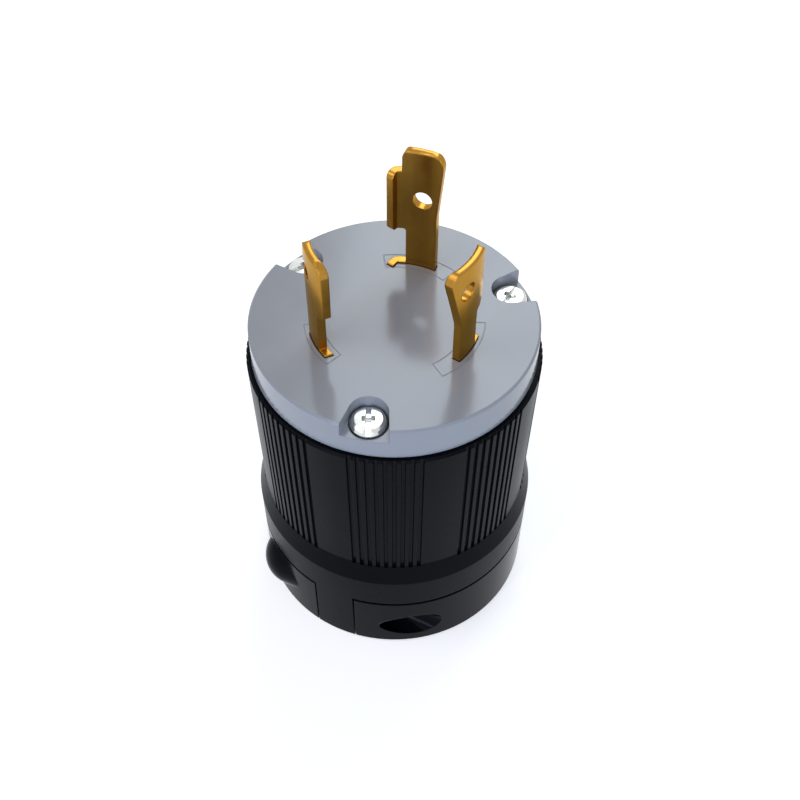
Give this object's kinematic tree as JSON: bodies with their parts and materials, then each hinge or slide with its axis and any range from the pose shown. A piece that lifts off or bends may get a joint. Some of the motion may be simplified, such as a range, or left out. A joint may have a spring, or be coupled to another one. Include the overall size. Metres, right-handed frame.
{
  "type": "locking power plug",
  "caption": "Round locking power plug with curved hooked blades in a grey contact face, a ribbed black grip, wire terminals inside and a two-jaw sliding cord clamp.",
  "frame": {"origin": "on the plug axis at the rear face, where the plug rests", "axes": "+Z along the plug axis towards the blade tips; +X to the right as the plug is seen from -Y with its blades up"},
  "size_m": [0.0536, 0.0536, 0.0915],
  "materials": {
    "face_grey": "satin moulded",
    "block_nylon": "moulded",
    "housing_nylon": "satin moulded",
    "jaw_nylon": "satin moulded",
    "brass_strip": "rolled and blanked",
    "plated_steel": "zinc plated",
    "green_screw": "green dyed",
    "brass_screw": "turned",
    "silver_screw": "nickel plated",
    "bright_screw": "bright plated",
    "black_screw": "black oxide"
  },
  "bodies": {
    "plug": {"front_face": "face_grey", "terminal_block": "block_nylon", "rear_housing": "housing_nylon", "ground_blade": "brass_strip", "hot_blade": "brass_strip", "neutral_blade": "brass_strip", "ground_wire_clamp": "plated_steel", "hot_wire_clamp": "plated_steel", "neutral_wire_clamp": "plated_steel", "ground_terminal_screw": "green_screw", "hot_terminal_screw": "brass_screw", "neutral_terminal_screw": "silver_screw", "face_screw_front": "bright_screw", "face_screw_right": "bright_screw", "face_screw_left": "bright_screw"},
    "right_jaw": {"clamp_jaw_right": "jaw_nylon", "clamp_screw_front": "black_screw", "clamp_nut_rear": "plated_steel"},
    "left_jaw": {"clamp_jaw_left": "jaw_nylon", "clamp_screw_rear": "black_screw", "clamp_nut_front": "plated_steel"}
  },
  "joints": [
    {"name": "right_jaw_slide", "type": "slide", "parent": "plug", "child": "right_jaw", "axis": [0.8965, -0.4431, 0], "range_m": [0, 0.003]},
    {"name": "left_jaw_slide", "type": "slide", "parent": "plug", "child": "left_jaw", "axis": [-0.8965, 0.4431, 0], "range_m": [0, 0.003]}
  ],
  "couplings": [
    {"joint": "left_jaw_slide", "follows": "right_jaw_slide", "ratio": 1}
  ]
}
